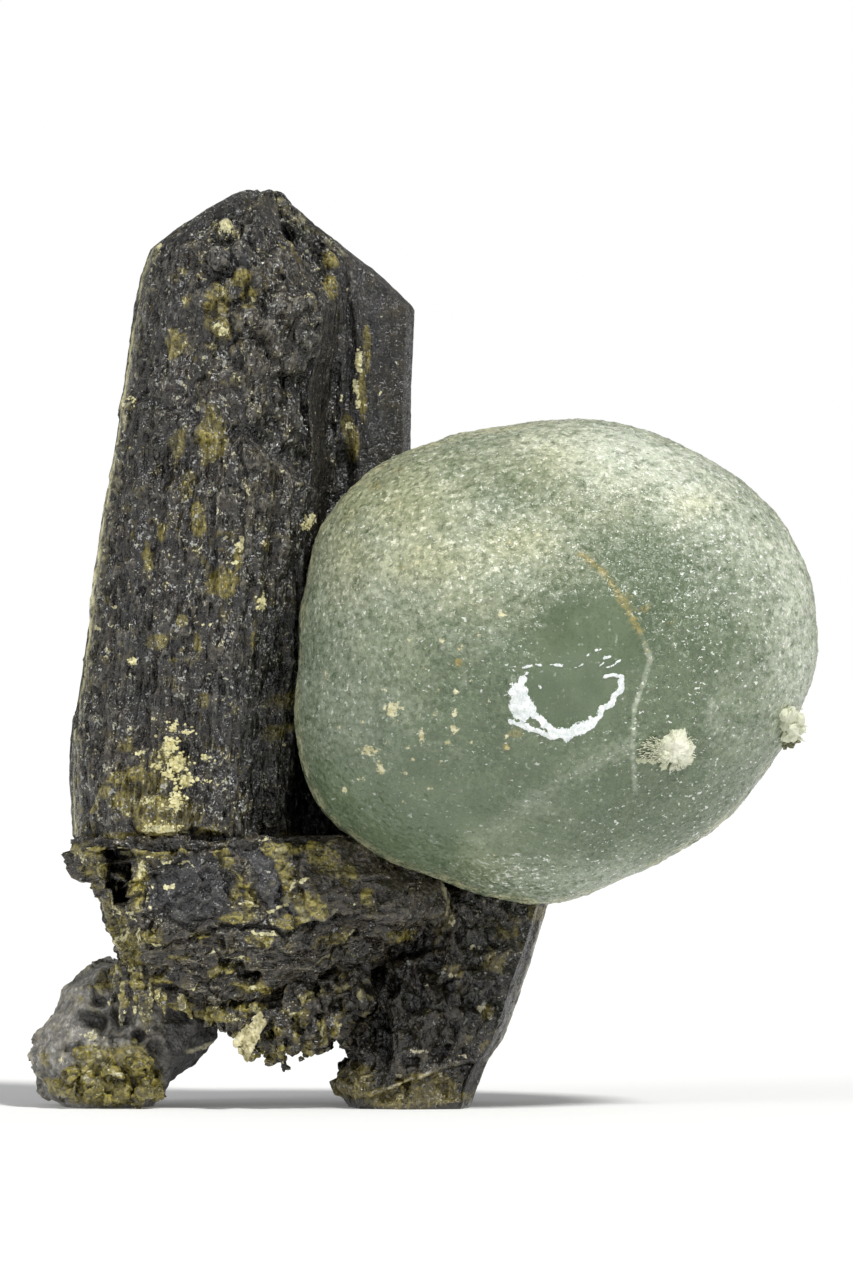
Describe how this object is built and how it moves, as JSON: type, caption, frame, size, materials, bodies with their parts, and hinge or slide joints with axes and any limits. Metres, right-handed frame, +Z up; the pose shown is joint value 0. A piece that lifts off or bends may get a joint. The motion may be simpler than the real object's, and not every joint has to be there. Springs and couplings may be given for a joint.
{
  "type": "prehnite cluster",
  "caption": "Natural mineral specimen: a pale green prehnite ball grown on dark olive epidote prisms, standing on flat feet for display.",
  "frame": {"origin": "middle of the specimen's outline, on the surface that it stands on", "axes": "+Z up along the tall epidote prism; +X to the ball's side; -Y toward the viewer of the picture"},
  "size_m": [0.0394, 0.0238, 0.046],
  "materials": {
    "epidote_tall": "glassy, striated",
    "epidote_block": "broken, satin",
    "epidote_rear": "satin",
    "knob_rock": "rough",
    "prehnite_green": "translucent, finely crystalline",
    "prehnite_cream": "pearly",
    "prehnite_spray": "pearly"
  },
  "bodies": {
    "root": {"main_epidote": "epidote_tall", "base_epidote": "epidote_block", "rear_epidote": "epidote_rear", "matrix_knob": "knob_rock", "prehnite_ball": "prehnite_green", "front_sheaf": "prehnite_cream", "edge_spray": "prehnite_spray"}
  },
  "joints": []
}
